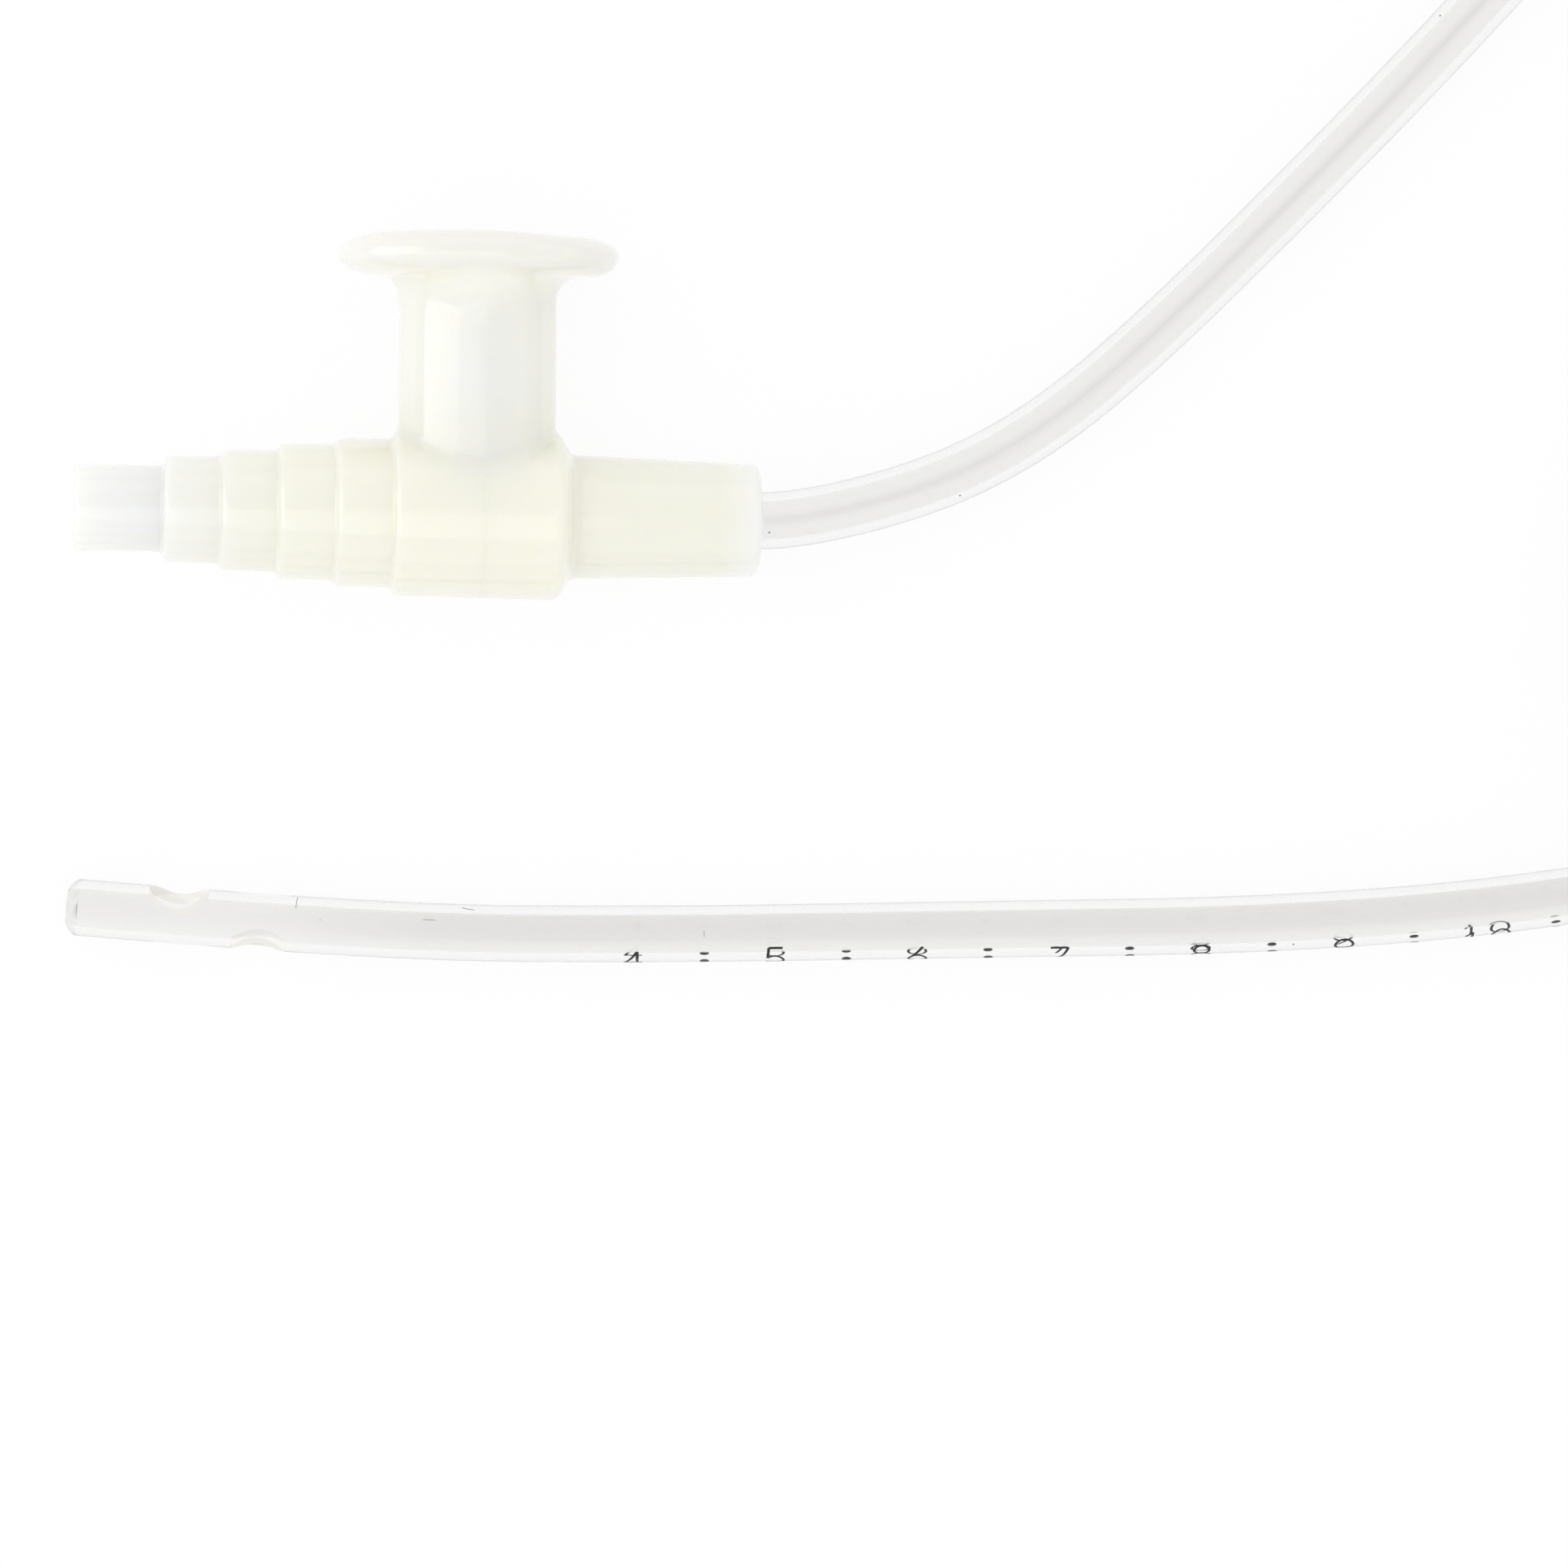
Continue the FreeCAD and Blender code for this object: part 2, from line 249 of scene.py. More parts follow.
# Specks on the tube, as places in X and Y
SPECKS = [(0.02447, -0.00812), (0.03811, -0.00531), (0.06138, -0.03700), (0.07164, 0.02839)]
SPECK_RADIUS = 0.00007
SCRATCH_WIDTH = 0.00005

# Camera, straight above, with the whole picture 1932 pixels square
CAMERA_PLACE = (0.025445, -0.025715, 0.392)
CAMERA_LENS = 126.8
SENSOR = 36.0

# Floor: its grey level, and how much of it shows as plain white
FLOOR_HALF = 1.5
FLOOR_LEVEL = 0.96
FLOOR_GLOW = 0.93

# Light level of the white surroundings, level with the object and straight above, and the dim
# band along the horizon that shows in reflections
HORIZON_LEVEL = 1.16
ZENITH_LEVEL = 0.85
BAND_LEVEL = 0.8
BAND_TOP = 0.30
BAND_BLUR = 0.04

# Soft boxes: name, place, size and power
LIGHT_TARGET = (0, 0, 0.01)
SOFT_BOXES = [
    ("left_box", (-0.42, 0.03, 0.436), 0.60, 0.62),
    ("near_box", (-0.02, -0.215, 0.66), 0.46, 0.20),
]

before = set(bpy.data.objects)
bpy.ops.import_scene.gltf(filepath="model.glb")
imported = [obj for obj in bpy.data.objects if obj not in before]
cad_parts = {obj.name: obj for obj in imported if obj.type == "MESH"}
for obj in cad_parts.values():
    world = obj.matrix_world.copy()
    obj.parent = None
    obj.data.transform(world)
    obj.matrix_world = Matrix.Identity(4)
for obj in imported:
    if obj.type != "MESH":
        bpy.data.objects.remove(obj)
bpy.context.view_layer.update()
scene = bpy.context.scene


def finish_piece(obj, body="root", replaced=()):
    """Attaches a piece to its body and hides the solids that it stands for."""
    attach(obj, body)
    if replaced:
        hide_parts(*replaced)
    return obj


def mesh_object(name, vertices, faces):
    """A new object from vertices and faces."""
    mesh = bpy.data.meshes.new(name)
    mesh.from_pydata([tuple(v) for v in vertices], [], [tuple(f) for f in faces])
    mesh.update()
    obj = bpy.data.objects.new(name, mesh)
    scene.collection.objects.link(obj)
    return obj


def smooth(obj):
    """Smooth shading on every face."""
    obj.data.polygons.foreach_set("use_smooth", [True] * len(obj.data.polygons))


def joined(name, parts):
    """One object from several lists of vertices and faces."""
    vertices = []
    faces = []
    for points, polygons in parts:
        first = len(vertices)
        vertices += list(points)
        faces += [tuple(first + i for i in polygon) for polygon in polygons]
    obj = mesh_object(name, vertices, faces)
    mesh = bmesh.new()
    mesh.from_mesh(obj.data)
    bmesh.ops.recalc_face_normals(mesh, faces=mesh.faces)
    mesh.to_mesh(obj.data)
    mesh.free()
    return obj


def eased(low, high, value):
    """0 below low, 1 above high and smooth between."""
    share = np.clip((value - low) / (high - low), 0, 1)
    return share * share * (3 - 2 * share)


# Connector, as a field that is negative inside


def round_union(a, b, radius):
    """Union of two fields with a fillet of this radius."""
    corner = np.hypot(np.maximum(radius - a, 0), np.maximum(radius - b, 0))
    return np.maximum(radius, np.minimum(a, b)) - corner


def round_common(a, b, radius):
    """What two fields share, with the edge rounded by this radius."""
    corner = np.hypot(np.maximum(radius + a, 0), np.maximum(radius + b, 0))
    return np.minimum(-radius, np.maximum(a, b)) + corner


def sloped(run, rise, reach):
    """Distance to a face that leans back by run over the height rise."""
    return reach / math.hypot(1, run / rise)


def nozzle_and_barrel(x, r):
    """The stepped rings and the barrel, open to the right."""
    field = round_common(NOZZLE_START - x, r - TIP_RING_RADIUS, NOZZLE_LIP)
    foot = TIP_RING_RADIUS
    station = NOZZLE_START + TIP_RING_LENGTH
    for radius in reversed((BARREL_RADIUS,) + RING_RADII):
        face = station - x + STEP_LEAN * (r - foot) / (radius - foot)
        face = sloped(STEP_LEAN, radius - foot, face)
        side = r - radius - RING_DRAFT * (x - station) / RING_PITCH
        field = round_union(field, round_common(face, side, STEP_CREST), STEP_ROOT)
        foot = radius + RING_DRAFT
        station += RING_PITCH
    return field


def body_of_rotation(x, r):
    """Nozzle, barrel and sleeve."""
    drop = BARREL_RADIUS + RING_DRAFT - SLEEVE_ROOT_RADIUS
    shoulder = x - BARREL_END - SHOULDER_LEAN * (BARREL_RADIUS + RING_DRAFT - r) / drop
    shoulder = sloped(SHOULDER_LEAN, drop, shoulder)
    barrel = round_common(nozzle_and_barrel(x, r), shoulder, SHOULDER_CREST)
    taper = (SLEEVE_END_RADIUS - SLEEVE_ROOT_RADIUS) / (SLEEVE_END - SLEEVE_START)
    side = r - SLEEVE_ROOT_RADIUS - taper * (x - SLEEVE_START)
    sleeve = round_common(np.maximum(side, -x), x - SLEEVE_END, SLEEVE_LIP)
    return round_union(barrel, sleeve, SHOULDER_ROOT)


def by_side(x, z, left, right, front):
    """A value that goes smoothly from left or right to front with the direction."""
    share = x ** 2 / (x ** 2 + z ** 2 + 1e-6)
    side = np.where(x < 0, left, right)
    return front + (side - front) * share


def plate(x, y, z):
    """The oval plate with its full rounded edge."""
    spread = (np.abs(x) / PLATE_HALF_LENGTH) ** PLATE_POWER
    spread = (spread + (np.abs(z) / PLATE_HALF_DEPTH) ** PLATE_POWER) ** (1 / PLATE_POWER)
    distance = np.hypot(x, z)
    edge = distance / np.maximum(spread, 1e-3)
    middle = PLATE_EDGE_HEIGHT + x * math.tan(math.radians(PLATE_SLOPE_UNDER))
    tilt = math.tan(math.radians(PLATE_SLOPE_TOP)) - math.tan(math.radians(PLATE_SLOPE_UNDER))
    above = PLATE_ABOVE + x * tilt
    high = y > middle
    inset_left = np.where(high, EDGE_TOP_LEFT, EDGE_UNDER_LEFT)
    inset_right = np.where(high, EDGE_TOP_RIGHT, EDGE_UNDER_RIGHT)
    inset_front = np.where(high, EDGE_TOP_FRONT, EDGE_UNDER_FRONT)
    inset = by_side(x, z, inset_left, inset_right, inset_front)
    u = np.maximum(distance - edge + inset, 0) / inset
    half = np.where(high, above, PLATE_BELOW)
    v = (y - middle) / half
    reach = np.hypot(u, v)
    steep = np.hypot(u / inset, v / half) / np.maximum(reach, 1e-3)
    return (reach - 1) / np.maximum(steep, 1e-3)


def port_head(x, y, z):
    """Stem, flare, plate and dish."""
    ring = np.hypot(x / STEM_HALF_WIDTH, z / STEM_HALF_DEPTH)
    slope = np.hypot(x / STEM_HALF_WIDTH ** 2, z / STEM_HALF_DEPTH ** 2)
    stem = (ring - 1) * ring / np.maximum(slope, 1e-3)
    stem = np.maximum(stem, np.maximum(-y, y - PLATE_EDGE_HEIGHT))
    width = by_side(x, z, FLARE_LEFT[0], FLARE_RIGHT[0], FLARE_FRONT[0])
    rise = by_side(x, z, FLARE_LEFT[1], FLARE_RIGHT[1], FLARE_FRONT[1])
    top = plate(x, y, z)
    blended = round_union(stem / width, top / rise, 1.0) * np.minimum(width, rise)
    head = np.minimum(np.minimum(stem, top), blended)
    distance = np.hypot(x, z)
    rim = by_side(x, z, DISH_RIM_LEFT, DISH_RIM_RIGHT, DISH_RIM_DEPTH)
    share = np.sqrt(np.maximum(distance - PORT_BORE, 0) / (rim - PORT_BORE))
    floor = PORT_HEIGHT - (1 - share) * DISH_DEPTH + x * math.tan(math.radians(PLATE_SLOPE_TOP))
    return round_common(head, np.where(y > PORT_HEIGHT / 2, y - floor, -1.0), DISH_ROUNDING)


def bores(x, y, z, r, lean_x, lean_y):
    """Every hollow inside the connector."""
    taper = (CHAMBER_RADIUS - NOZZLE_BORE) / (CHAMBER_END - NOZZLE_START)
    chamber = np.maximum(r - NOZZLE_BORE - taper * (x - NOZZLE_START), x - CHAMBER_END)
    throat = np.maximum(r - THROAT_RADIUS, np.maximum(-x, x - SOCKET_STOP - CELL))
    socket = np.maximum(r - SOCKET_RADIUS, SOCKET_STOP - x)
    port = np.maximum(np.hypot(lean_x, z) - PORT_BORE, -lean_y)
    return np.minimum(np.minimum(chamber, throat), np.minimum(socket, port))


def connector_field(x, y, z):
    """The whole moulding in its own axes, in millimetres."""
    r = np.hypot(y, z)
    cos, sin = math.cos(math.radians(PORT_LEAN)), math.sin(math.radians(PORT_LEAN))
    lean_x = x * cos + y * sin
    lean_y = y * cos - x * sin
    whole = round_union(body_of_rotation(x, r), port_head(lean_x, lean_y, z), STEM_FILLET)
    return round_common(whole, -bores(x, y, z, r, lean_x, lean_y), MOUTH_ROUNDING)


def thin_wall(x, y):
    """How pale the plastic is, most at the nozzle's tip, the sleeve's end and the head: thin walls,
    and painted light in the stem and under the plate.
    """
    tip = 1 - eased(NOZZLE_START + PALE_TIP, BARREL_START - 2 * RING_PITCH, x)
    end = eased(SLEEVE_END - PALE_SLEEVE, SLEEVE_END, x)
    # Painted light: the stem is made paler, partly for its thin wall, and more from under the
    # plate's top, where shade falls in the fillet.
    port = STEM_PALE_AND_PAINTED_LIGHT * eased(BARREL_RADIUS, PORT_HEIGHT / 2, y)
    port += HEAD_PAINTED_LIGHT * eased(PORT_HEIGHT - HEAD_PAINTED_LIGHT_DEPTH, PLATE_EDGE_HEIGHT, y)
    return np.maximum(np.maximum(tip, end), port)


def in_plate(y):
    """1 in the plate, 0 below it and smooth between."""
    start = PLATE_EDGE_HEIGHT - PLATE_TONE_START
    return eased(start, PLATE_EDGE_HEIGHT - PLATE_TONE_FULL, y)


def seat():
    """The connector's place and turn in the scene."""
    turn = Matrix.Rotation(math.radians(SEAT_YAW), 4, "Z")
    turn = turn @ Matrix.Rotation(math.radians(SEAT_PITCH), 4, "Y")
    turn = turn @ Matrix.Rotation(math.radians(SEAT_ROLL), 4, "X")
    return Matrix.Translation(Vector(SEAT_PLACE) * MM) @ turn


def field_slope(points, step=0.02):
    """Gradient of the connector's field at these points."""
    columns = []
    for axis in range(3):
        ahead = points.copy()
        behind = points.copy()
        ahead[:, axis] += step
        behind[:, axis] -= step
        columns.append(connector_field(*ahead.T) - connector_field(*behind.T))
    return np.stack(columns, axis=1) / (2 * step)


def make_connector():
    """The connector as one smooth closed mesh."""
    low = np.array([NOZZLE_START, -BARREL_RADIUS, -PLATE_HALF_DEPTH]) - GRID_MARGIN * CELL
    high = np.array([SLEEVE_END, PORT_HEIGHT, PLATE_HALF_DEPTH]) + GRID_MARGIN * CELL
    axes = [np.arange(a, b, CELL) for a, b in zip(low, high)]
    field = connector_field(*np.meshgrid(*axes, indexing="ij"))
    steepness = np.sqrt(sum(g ** 2 for g in np.gradient(field, CELL)))
    field = np.clip(field / np.maximum(steepness, LEAST_SLOPE), -FIELD_REACH, FIELD_REACH)
    grid = openvdb.FloatGrid(FIELD_REACH)
    grid.copyFromArray(field.astype(np.float32))
    points, triangles, quads = grid.convertToPolygons(isovalue=0.0, adaptivity=0.0)
    points = low + points.astype(float) * CELL
    for _ in range(SETTLING_STEPS):
        slope = field_slope(points)
        size = np.maximum((slope ** 2).sum(axis=1), LEAST_SLOPE)
        move = slope * (connector_field(*points.T) / size)[:, None]
        points -= np.clip(move, -CELL / 3, CELL / 3)
    faces = [tuple(f) for f in triangles] + [tuple(f) for f in quads]
    obj = mesh_object("connector_moulding", points * MM, faces)
    # Paleness where the wall is thin, with painted light in the stem and under the plate.
    thin = obj.data.attributes.new("thin_wall", "FLOAT", "POINT")
    thin.data.foreach_set("value", thin_wall(points[:, 0], points[:, 1]).astype(np.float32))
    top = obj.data.attributes.new("in_plate", "FLOAT", "POINT")
    top.data.foreach_set("value", in_plate(points[:, 1]).astype(np.float32))
    obj.data.transform(seat())
    mesh = bmesh.new()
    mesh.from_mesh(obj.data)
    bmesh.ops.recalc_face_normals(mesh, faces=mesh.faces)
    mesh.to_mesh(obj.data)
    mesh.free()
    smooth(obj)
    normals = field_slope(points) @ np.array(seat().to_3x3()).T
    normals /= np.linalg.norm(normals, axis=1)[:, None]
    obj.data.normals_split_custom_set_from_vertices(normals.tolist())
    return obj


def make_parting_line():
    """The mould's fine ridge round the barrel, from one side of the stem to the other."""
    radius = BARREL_RADIUS + RING_DRAFT * (WITNESS_STATION - BARREL_START) / RING_PITCH
    turns = np.radians(np.linspace(WITNESS_START, 360 - WITNESS_START, WITNESS_STEPS))
    half = WITNESS_WIDTH / 2
    foot = [(-half, -WITNESS_SINK), (half, -WITNESS_SINK)]
    section = foot + [(half / 2, WITNESS_RISE), (-half / 2, WITNESS_RISE)]
    vertices = []
    for a in turns:
        for shift, rise in section:
            reach = radius + rise
            vertices.append((WITNESS_STATION + shift, reach * math.cos(a), reach * math.sin(a)))
    faces = []
    for i in range(len(turns) - 1):
        for k in range(4):
            n = (k + 1) % 4
            faces.append((4 * i + k, 4 * i + n, 4 * i + 4 + n, 4 * i + 4 + k))
    last = 4 * (len(turns) - 1)
    faces += [(3, 2, 1, 0), (last, last + 1, last + 2, last + 3)]
    obj = joined("parting_line", [(np.array(vertices) * MM, faces)])
    obj.data.transform(seat())
    return obj


# Tube


def route_line():
    """Points along the route's smooth line, close together."""
    curve = bpy.data.curves.new("route", "CURVE")
    curve.dimensions = "3D"
    spline = curve.splines.new("NURBS")
    spline.points.add(len(ROUTE) - 1)
    for point, place in zip(spline.points, ROUTE):
        point.co = (*place, 1.0)
    spline.order_u = 3
    spline.use_endpoint_u = True
    spline.resolution_u = 24
    obj = bpy.data.objects.new("route", curve)
    scene.collection.objects.link(obj)
    bpy.context.view_layer.update()
    mesh = bpy.data.meshes.new_from_object(obj)
    line = np.array([v.co for v in mesh.vertices])
    bpy.data.objects.remove(obj)
    bpy.data.meshes.remove(mesh)
    return line


def evenly(line, step):
    """The same line with its points evenly spaced."""
    lengths = np.r_[0, np.cumsum(np.linalg.norm(np.diff(line, axis=0), axis=1))]
    count = int(round(lengths[-1] / step))
    places = np.linspace(0, lengths[-1], count + 1)
    return np.stack([np.interp(places, lengths, line[:, i]) for i in range(3)], axis=1)


def line_frames(line):
    """Direction, upward side and sideways side of the line at each point."""
    forward = np.gradient(line, axis=0)
    forward /= np.linalg.norm(forward, axis=1)[:, None]
    side = np.cross(forward, (0, 0, 1))
    side /= np.linalg.norm(side, axis=1)[:, None]
    return forward, np.cross(side, forward), side


def make_tube(line):
    """The hollow tube with its rounded open tip, as one closed mesh."""
    forward, up, side = line_frames(line)
    rings = [(i, 0.0, TUBE_RADIUS) for i in range(len(line))]
    end = len(line) - 1
    for angle in np.linspace(0, math.pi / 2, TIP_RINGS + 1)[1:]:
        reach = TIP_ROUNDING * math.sin(angle)
        rings.append((end, reach, TUBE_RADIUS - TIP_ROUNDING * (1 - math.cos(angle))))
    for angle in np.linspace(0, math.pi / 2, LIP_RINGS + 1)[1:]:
        inward = TIP_LIP * (1 - math.sin(angle))
        back = TIP_LIP * (1 - math.cos(angle))
        rings.append((end, TIP_ROUNDING - back, TIP_OPENING + inward))
    rings += [(i, 0.0, LUMEN_RADIUS) for i in reversed(range(len(line)))]
    turns = np.arange(TUBE_SIDES) * 2 * math.pi / TUBE_SIDES
    vertices = []
    for i, reach, radius in rings:
        centre = line[i] + forward[i] * reach
        ring = np.outer(np.cos(turns), up[i]) + np.outer(np.sin(turns), side[i])
        vertices.append(centre + ring * radius)
    faces = []
    for i in range(len(rings)):
        a = i * TUBE_SIDES
        b = (i + 1) % len(rings) * TUBE_SIDES
        for k in range(TUBE_SIDES):
            n = (k + 1) % TUBE_SIDES
            faces.append((a + k, a + n, b + n, b + k))
    obj = mesh_object("catheter_tubing", np.concatenate(vertices), faces)
    obj.data.materials.append(clear_tube())
    obj.data.materials.append(cut_face())
    first = (len(line) + TIP_RINGS - 1) * TUBE_SIDES
    for polygon in obj.data.polygons[first : first + LIP_RINGS * TUBE_SIDES]:
        polygon.material_index = 1
    return obj


def eye_cutter(tip, forward, distance, length, width, turn_from_top):
    """Oval cutter for one side eye: it narrows from the tube's skin to its axis."""
    turn = Matrix.Rotation(math.radians(turn_from_top), 3, Vector(forward))
    outward = np.array(turn @ Vector((0, 0, 1)))
    across = np.cross(outward, forward)
    rim_height = math.sqrt(TUBE_RADIUS ** 2 - (width / 2) ** 2)
    sides = EYE_SIDES
    turns = np.arange(sides) * 2 * math.pi / sides
    levels = [(0, EYE_FOOT_SHARE), (rim_height, 1), (EYE_REACH, 1)]
    centre = tip - forward * distance
    vertices = []
    for height, share in levels:
        ring = np.outer(np.cos(turns), forward * share * length / 2)
        ring += np.outer(np.sin(turns), across * share * width / 2)
        vertices.append(centre + outward * height + ring)
    faces = [tuple(reversed(range(sides)))]
    for level in range(len(levels) - 1):
        for k in range(sides):
            n = (k + 1) % sides
            a = level * sides
            faces.append((a + k, a + n, a + sides + n, a + sides + k))
    faces.append(tuple(range(2 * sides, 3 * sides)))
    return mesh_object("eye_cutter", np.concatenate(vertices), faces)


def cut_eyes(tube, line):
    """Cuts the side eyes out of the tube's wall."""
    tip = line[-1] + (line[-1] - line[-2]) / np.linalg.norm(line[-1] - line[-2]) * TIP_ROUNDING
    forward = line[-1] - line[-2]
    forward /= np.linalg.norm(forward)
    for eye in (NEAR_EYE, FAR_EYE):
        cutter = eye_cutter(tip, forward, *eye)
        cutter.data.materials.append(tube.data.materials[1])
        modifier = tube.modifiers.new("eye", "BOOLEAN")
        modifier.operation = "DIFFERENCE"
        modifier.solver = "EXACT"
        modifier.material_mode = "TRANSFER"
        modifier.object = cutter
        bpy.context.view_layer.objects.active = tube
        bpy.ops.object.modifier_apply(modifier=modifier.name)
        bpy.data.objects.remove(cutter)


def print_turn(distance):
    """The print's turn from the tube's upper side at this distance from the tip, in radians."""
    stations = [d for d, turn in PRINT_TURNS]
    turns = [turn for d, turn in PRINT_TURNS]
    return math.radians(np.interp(distance * 100, stations, turns))


def stroke_line(stroke):
    """Points along one stroke, in the digit's own box."""
    if isinstance(stroke, list):
        (x0, y0), (x1, y1) = stroke
        return [(x0 + (x1 - x0) * t, y0 + (y1 - y0) * t) for t in np.linspace(0, 1, 9)]
    x, y, half_width, half_height, start, end = stroke
    turns = np.radians(np.linspace(start, end, 33))
    return [(x + half_width * math.cos(a), y + half_height * math.sin(a)) for a in turns]


class TubeSkin:
    """Places things on the tube's outer skin by distance from the tip and turn from the top."""

    def __init__(self, line):
        back = line[::-1]
        self.forward, self.up, self.side = [a[::-1] for a in line_frames(line)]
        self.line = back
        gaps = np.linalg.norm(np.diff(back, axis=0), axis=1)
        self.lengths = np.r_[0, np.cumsum(gaps)]

    def at(self, table, distance):
        """The value of a table of vectors at this distance from the tip."""
        return np.array([np.interp(distance, self.lengths, table[:, i]) for i in range(3)])

    def place(self, distance, turn, radius):
        """The point at this distance from the tip, turn from the top, and radius."""
        out = self.at(self.up, distance) * math.cos(turn)
        out -= self.at(self.side, distance) * math.sin(turn)
        return self.at(self.line, distance) + out * radius


def skin_spot(skin, place):
    """Distance from the tip and turn of the spot on the skin that lies above a place in X and Y."""
    i = int(np.argmin(((skin.line[:, :2] - place) ** 2).sum(axis=1)))
    sideways = float(np.dot(np.array(place) - skin.line[i, :2], skin.side[i, :2]))
    return skin.lengths[i], -math.asin(max(-0.98, min(0.98, sideways / TUBE_RADIUS)))


def ribbon(skin, points, width):
    """A thin closed ribbon along points (distance, turn) on the skin."""
    flat = np.array([(d, t * TUBE_RADIUS) for d, t in points])
    along = np.gradient(flat, axis=0)
    along /= np.linalg.norm(along, axis=1)[:, None]
    across = np.stack([-along[:, 1], along[:, 0]], axis=1) * width / 2
    over = [(-1, 0), (-INK_FLAT, INK_OVER), (INK_FLAT, INK_OVER), (1, 0)]
    section = over + [(INK_FLAT, -INK_UNDER), (-INK_FLAT, -INK_UNDER)]
    vertices = []
    for place, reach in zip(flat, across):
        for share, height in section:
            distance, arc = place + reach * share
            vertices.append(skin.place(distance, arc / TUBE_RADIUS, TUBE_RADIUS + height))
    sides = len(section)
    faces = [tuple(range(sides))]
    for i in range(len(flat) - 1):
        for k in range(sides):
            n = (k + 1) % sides
            a, b = i * sides, (i + 1) * sides
            faces.append((a + n, a + k, b + k, b + n))
    last = (len(flat) - 1) * sides
    faces.append(tuple(reversed(range(last, last + sides))))
    return vertices, faces


def dot(skin, distance, turn, radius):
    """A round dot on the skin."""
    sides = DOT_SIDES
    vertices = []
    for height in (-INK_UNDER, INK_OVER):
        for k in range(sides):
            angle = 2 * math.pi * k / sides
            arc = turn + radius * math.sin(angle) / TUBE_RADIUS
            at = distance + radius * math.cos(angle)
            vertices.append(skin.place(at, arc, TUBE_RADIUS + height))
    faces = [tuple(range(sides)), tuple(reversed(range(sides, 2 * sides)))]
    for k in range(sides):
        n = (k + 1) % sides
        faces.append((n, k, sides + k, sides + n))
    return vertices, faces


def make_depth_marks(skin):
    """The printed centimetre numbers, and the dots half way between them."""
    parts = []
    for number in range(FIRST_MARK, LAST_MARK + 1):
        text = str(number)
        distance = number / 100
        turn = print_turn(distance)
        for place, digit in enumerate(text):
            start = distance + (place - (len(text) - 1) / 2) * DIGIT_ADVANCE - DIGIT_WIDTH / 2
            for stroke in DIGIT_STROKES[digit]:
                points = []
                for x, y in stroke_line(stroke):
                    arc = turn - (y - 0.5) * DIGIT_HEIGHT / TUBE_RADIUS
                    points.append((start + x * DIGIT_WIDTH, arc))
                parts.append(ribbon(skin, points, STROKE_WIDTH))
        if number < LAST_MARK:
            distance += 0.005
            turn = print_turn(distance) + math.radians(DOT_OFFSET)
            parts.append(dot(skin, distance, turn, DOT_RADIUS))
    return joined("depth_marks", parts)


def make_specks(skin):
    """Fine scratches and specks on the tube's skin."""
    parts = []
    for start, end in SCRATCHES:
        d0, t0 = skin_spot(skin, start)
        d1, t1 = skin_spot(skin, end)
        steps = np.linspace(0, 1, 7)
        points = [(d0 + (d1 - d0) * t * t + 1e-7 * t, t0 + (t1 - t0) * t) for t in steps]
        parts.append(ribbon(skin, points, SCRATCH_WIDTH))
    for place in SPECKS:
        distance, turn = skin_spot(skin, place)
        parts.append(dot(skin, distance, turn, SPECK_RADIUS))
    return joined("tube_specks", parts)


def nearest_on_line(places, line):
    """Index of the line's nearest point for every place."""
    nearest = []
    for chunk in np.array_split(places, 16):
        apart = (line ** 2).sum(axis=1) - 2 * chunk @ line.T
        nearest.append(apart.argmin(axis=1))
    return np.concatenate(nearest)


def mark_lumen(tube, line):
    """Paints shade on the lumen: a wide band near the tip, a narrow one near the sleeve."""
    places = np.empty(len(tube.data.vertices) * 3)
    tube.data.vertices.foreach_get("co", places)
    places = places.reshape(-1, 3)
    forward, up, side = line_frames(line)
    i = nearest_on_line(places, line)
    out = places - line[i]
    out -= forward[i] * (out * forward[i]).sum(axis=1)[:, None]
    radius = np.linalg.norm(out, axis=1)
    sideways = (out * side[i]).sum(axis=1) / radius
    from_tip = (len(line) - 1 - i) * TUBE_STEP
    wide = 1 - WIDE_SIDE_LOSS * eased(*WIDE_SIDE, -sideways)
    wide *= WIDE_TIP_KEPT + (1 - WIDE_TIP_KEPT) * eased(*WIDE_TIP, from_tip)
    narrow = NARROW_KEPT + (1 - NARROW_KEPT) * np.exp(-((sideways / NARROW_WIDTH) ** 2))
    near_tip = 1 - eased(*WIDE_END, from_tip)
    lumen_painted_shade = near_tip * wide + (1 - near_tip) * narrow
    lumen_painted_shade *= radius < (TUBE_RADIUS + LUMEN_RADIUS) / 2
    # The lumen attribute holds painted shade for the lumen's colour.
    lumen = tube.data.attributes.new("lumen", "FLOAT", "POINT")
    lumen.data.foreach_set("value", lumen_painted_shade.astype(np.float32))


def shade_by_angle(obj, degrees):
    """Smooth shading, sharp where faces meet at more than this angle or in another material."""
    smooth(obj)
    obj.data.set_sharp_from_angle(angle=math.radians(degrees))
    mesh = bmesh.new()
    mesh.from_mesh(obj.data)
    for edge in mesh.edges:
        if len({face.material_index for face in edge.link_faces}) > 1:
            edge.smooth = False
    mesh.to_mesh(obj.data)
    mesh.free()


# Materials


def new_material(name):
    """An empty node material with its shader and output."""
    material = bpy.data.materials.new(name)
    material.use_nodes = True
    return material, material.node_tree.nodes, material.node_tree.links


